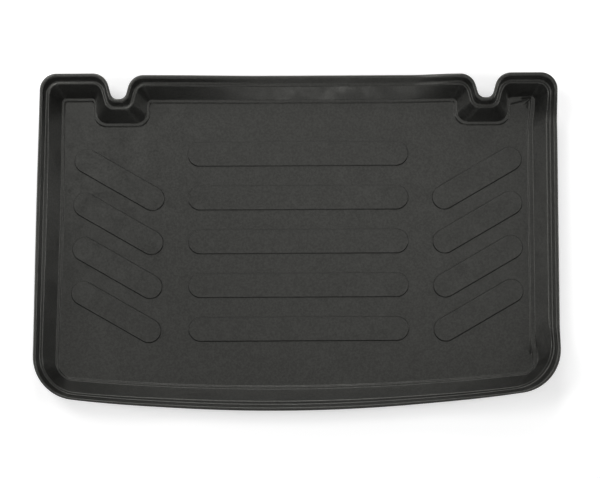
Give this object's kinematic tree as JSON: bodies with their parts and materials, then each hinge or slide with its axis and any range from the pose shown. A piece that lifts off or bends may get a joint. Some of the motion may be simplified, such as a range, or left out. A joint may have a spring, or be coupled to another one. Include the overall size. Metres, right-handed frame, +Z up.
{
  "type": "boot liner",
  "caption": "Shallow moulded tray that lines a hatchback's boot floor, with raised grip bars, a stiffened rim, a bowed tailgate edge and notches that clear the seat latches.",
  "frame": {"origin": "under the middle of the liner's bounding box, on the surface that it lies on", "axes": "+X across the car along the longest side, +Y towards the rear seats, where the notches are, +Z up out of the tray"},
  "size_m": [0.9976, 0.6402, 0.06],
  "materials": {
    "moulded_sheet": "matt dark grey plastic sheet with a fine grain, slightly sheeny"
  },
  "bodies": {
    "root": {"boot_liner": "moulded_sheet"}
  },
  "joints": []
}
